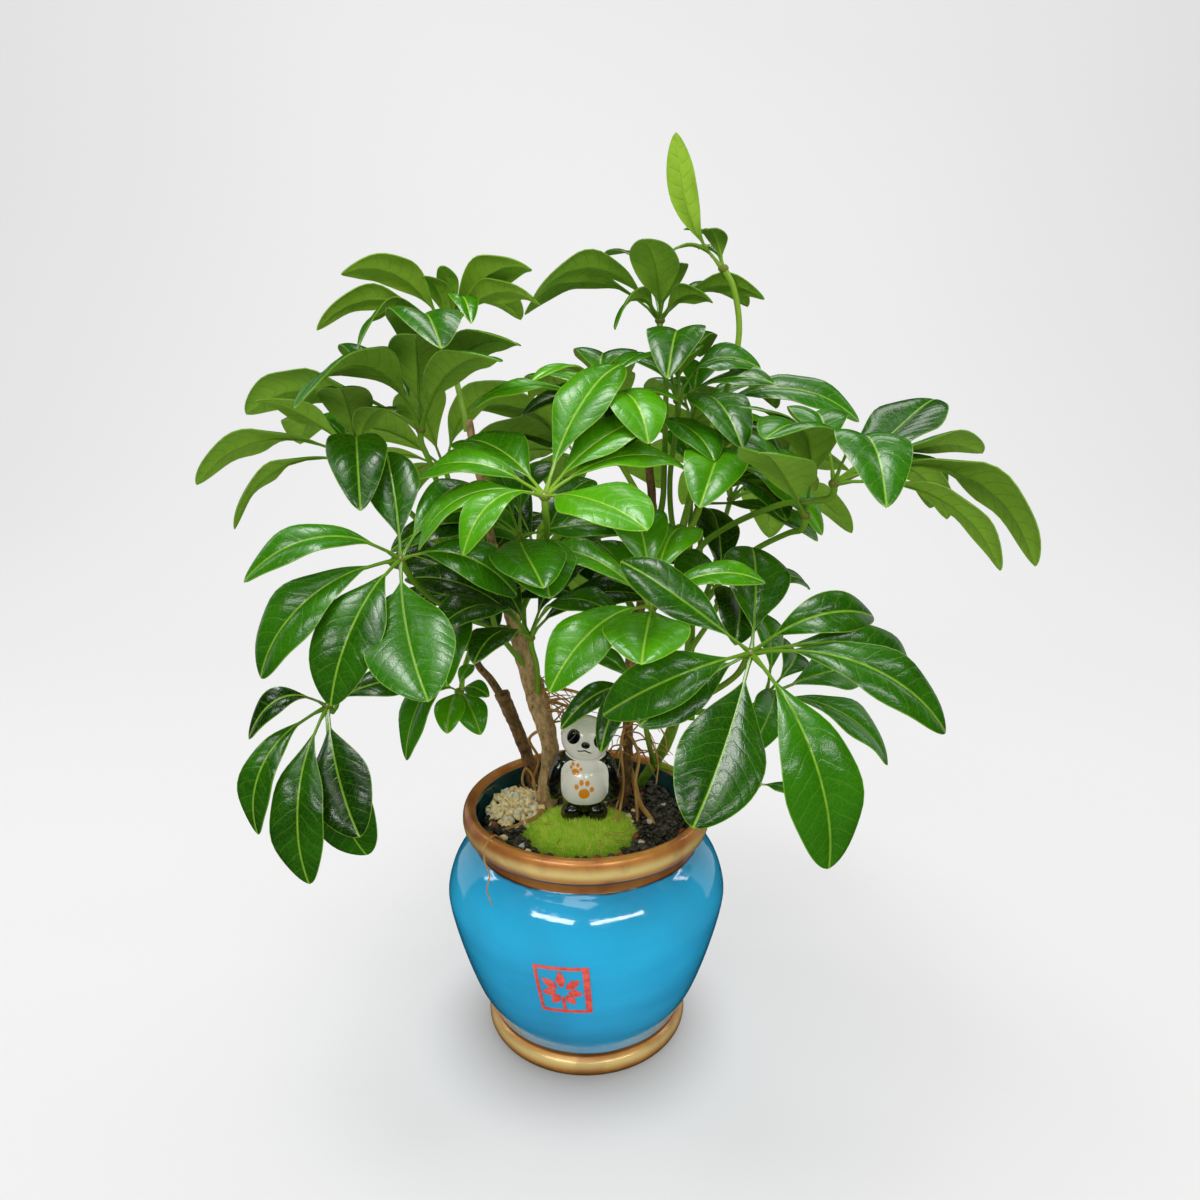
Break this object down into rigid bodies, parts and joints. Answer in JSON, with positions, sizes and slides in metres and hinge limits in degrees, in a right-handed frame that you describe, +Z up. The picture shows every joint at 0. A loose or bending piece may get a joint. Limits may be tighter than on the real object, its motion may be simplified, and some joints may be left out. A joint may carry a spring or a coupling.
{
  "type": "potted umbrella plant",
  "caption": "Potted umbrella plant with palmate leaves on woody stems, in a round glazed pot dressed with gravel, pebbles, moss and a small panda figurine.",
  "frame": {"origin": "centre of the pot's flat underside, on the surface that the pot stands on", "axes": "+Z up along the pot's axis, -Y towards the viewer of the picture, +X to the viewer's right"},
  "size_m": [0.3889, 0.3347, 0.4863],
  "materials": {
    "glaze": "gloss",
    "soil": "matte",
    "gravel": "satin",
    "pebble": "matte",
    "moss": "matte",
    "panda_ceramic": "gloss",
    "bark": "matte",
    "green_stem": "satin",
    "leaf": "gloss",
    "young_leaf": "gloss"
  },
  "bodies": {
    "root": {"pot": "glaze", "soil": "soil", "gravel_black": "gravel", "pebbles": "pebble", "moss_mound": "moss", "panda_figurine": "panda_ceramic", "stem_left": "bark", "trunk_main": "bark", "trunk_right": "bark", "stem_green": "green_stem", "leaf_front_right": "leaf", "leaf_front_left": "leaf", "leaf_low_left": "leaf", "leaf_centre": "young_leaf", "leaf_middle_front": "young_leaf", "leaf_far_left": "leaf", "leaf_high_left": "leaf", "leaf_top_left": "young_leaf", "leaf_top_middle": "leaf", "leaf_far_right": "leaf", "leaf_right_second": "leaf", "leaf_under_centre": "leaf", "leaf_crown_left": "young_leaf", "leaf_crown_middle": "leaf", "leaf_crown_right": "leaf", "leaf_right_inner": "young_leaf", "leaf_right_lower": "leaf", "leaf_inner_high": "leaf", "leaf_inner_left": "leaf", "leaf_inner_right": "leaf", "leaf_low_right": "leaf", "leaf_left_inner": "leaf", "leaf_small_front": "leaf", "leaf_left_sprout": "young_leaf", "leaf_right_sprout": "young_leaf", "leaf_whip": "young_leaf", "leaf_back_left": "leaf", "leaf_back_middle": "leaf", "leaf_back_right": "leaf", "leaf_back_low": "leaf", "leaf_inner_middle": "leaf", "leaf_inner_far_left": "leaf"}
  },
  "joints": []
}
